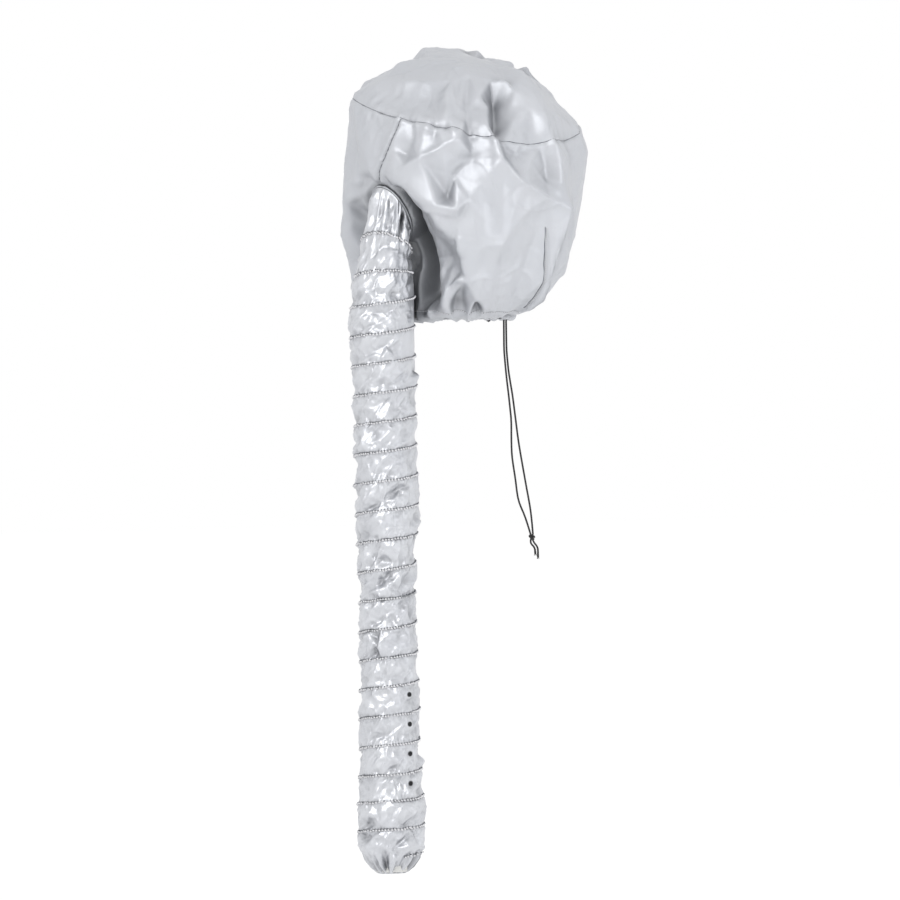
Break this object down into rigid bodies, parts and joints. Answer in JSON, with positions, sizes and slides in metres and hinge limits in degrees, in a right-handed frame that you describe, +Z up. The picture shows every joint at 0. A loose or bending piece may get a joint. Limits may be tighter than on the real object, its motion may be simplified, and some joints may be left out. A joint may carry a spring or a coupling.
{
  "type": "soft bonnet hair drying hood with hose",
  "caption": "Soft satin bonnet with a drawcord hem and a wire-ribbed fabric hose that slips over a hand dryer's barrel.",
  "frame": {"origin": "middle of the head opening, at half the height of its hem channel", "axes": "+Z up along the hood, +Y the way the face looks, the hose hangs on the -X side and the drawcord at the nape, -Y"},
  "size_m": [0.2908, 0.2727, 0.9151],
  "materials": {
    "satin": "silver coated satin, soft sheen",
    "foil_fabric": "crinkled silver coated fabric, brighter sheen",
    "tape": "bound seam allowance",
    "thread": "white polyester overlock thread",
    "wire": "drawn spring wire",
    "elastic": "covered elastic",
    "eyelet": "black lacquered eyelet",
    "drawcord": "black round braided cord"
  },
  "bodies": {
    "hood": {"crown_panel": "satin", "side_band": "satin", "crown_seam_tape": "tape", "side_seam_tape": "tape", "nape_placket": "satin", "placket_stitching": "thread", "hem_stitching": "thread", "hem_channel": "satin", "hem_drawcord": "drawcord"},
    "port_ring": {"port_collar": "satin"},
    "hose_upper": {"hose_neck": "foil_fabric", "neck_wire": "wire", "hose_sleeve_upper": "foil_fabric", "hose_wire_upper": "wire", "wire_casing_upper": "thread"},
    "hose_lower": {"hose_sleeve_lower": "foil_fabric", "hose_wire_lower": "wire", "wire_casing_lower": "thread", "vent_eyelets": "eyelet"},
    "dryer_cuff": {"cuff_sleeve": "foil_fabric", "cuff_stitching": "thread", "cuff_hem": "foil_fabric", "cuff_elastic": "elastic"},
    "drawcord": {"drawcord_left": "drawcord", "drawcord_right": "drawcord"},
    "cord_end": {"drawcord_knot": "drawcord", "drawcord_tail_left": "drawcord", "drawcord_tail_right": "drawcord"}
  },
  "joints": [
    {"name": "hose_swivel", "type": "hinge", "parent": "hood", "child": "port_ring", "pos_m": [-0.10735, 0, 0.1137], "axis": [-0.866, 0, -0.5], "range_deg": [-12, 12], "deforming": ["hose_neck", "neck_wire", "hose_sleeve_upper", "hose_wire_upper", "wire_casing_upper"]},
    {"name": "hose_lift", "type": "hinge", "parent": "port_ring", "child": "hose_upper", "pos_m": [-0.10735, 0, 0.1137], "axis": [0, 1, 0], "range_deg": [0, 70], "deforming": ["hose_neck", "neck_wire", "hose_sleeve_upper", "hose_wire_upper", "wire_casing_upper"]},
    {"name": "hose_bend", "type": "hinge", "parent": "hose_upper", "child": "hose_lower", "pos_m": [-0.1163, 0, -0.26694], "axis": [0, 1, 0], "range_deg": [-35, 60], "deforming": ["hose_neck", "neck_wire", "hose_sleeve_upper", "hose_wire_upper", "wire_casing_upper", "hose_sleeve_lower", "hose_wire_lower", "wire_casing_lower", "vent_eyelets"]},
    {"name": "cuff_tilt", "type": "hinge", "parent": "hose_lower", "child": "dryer_cuff", "pos_m": [-0.11123, 0, -0.5309], "axis": [1, 0, 0], "range_deg": [-30, 30], "deforming": ["hose_sleeve_lower", "hose_wire_lower", "wire_casing_lower", "vent_eyelets", "cuff_sleeve", "cuff_stitching"]},
    {"name": "cord_swing", "type": "hinge", "parent": "hood", "child": "drawcord", "pos_m": [0.01545, -0.04755, -0.007], "axis": [-1, 0, 0], "range_deg": [-25, 60], "deforming": ["drawcord_left", "drawcord_right"]},
    {"name": "cord_pull", "type": "slide", "parent": "drawcord", "child": "cord_end", "axis": [0, 0, -1], "range_m": [0, 0.04], "deforming": ["drawcord_left", "drawcord_right"]}
  ]
}
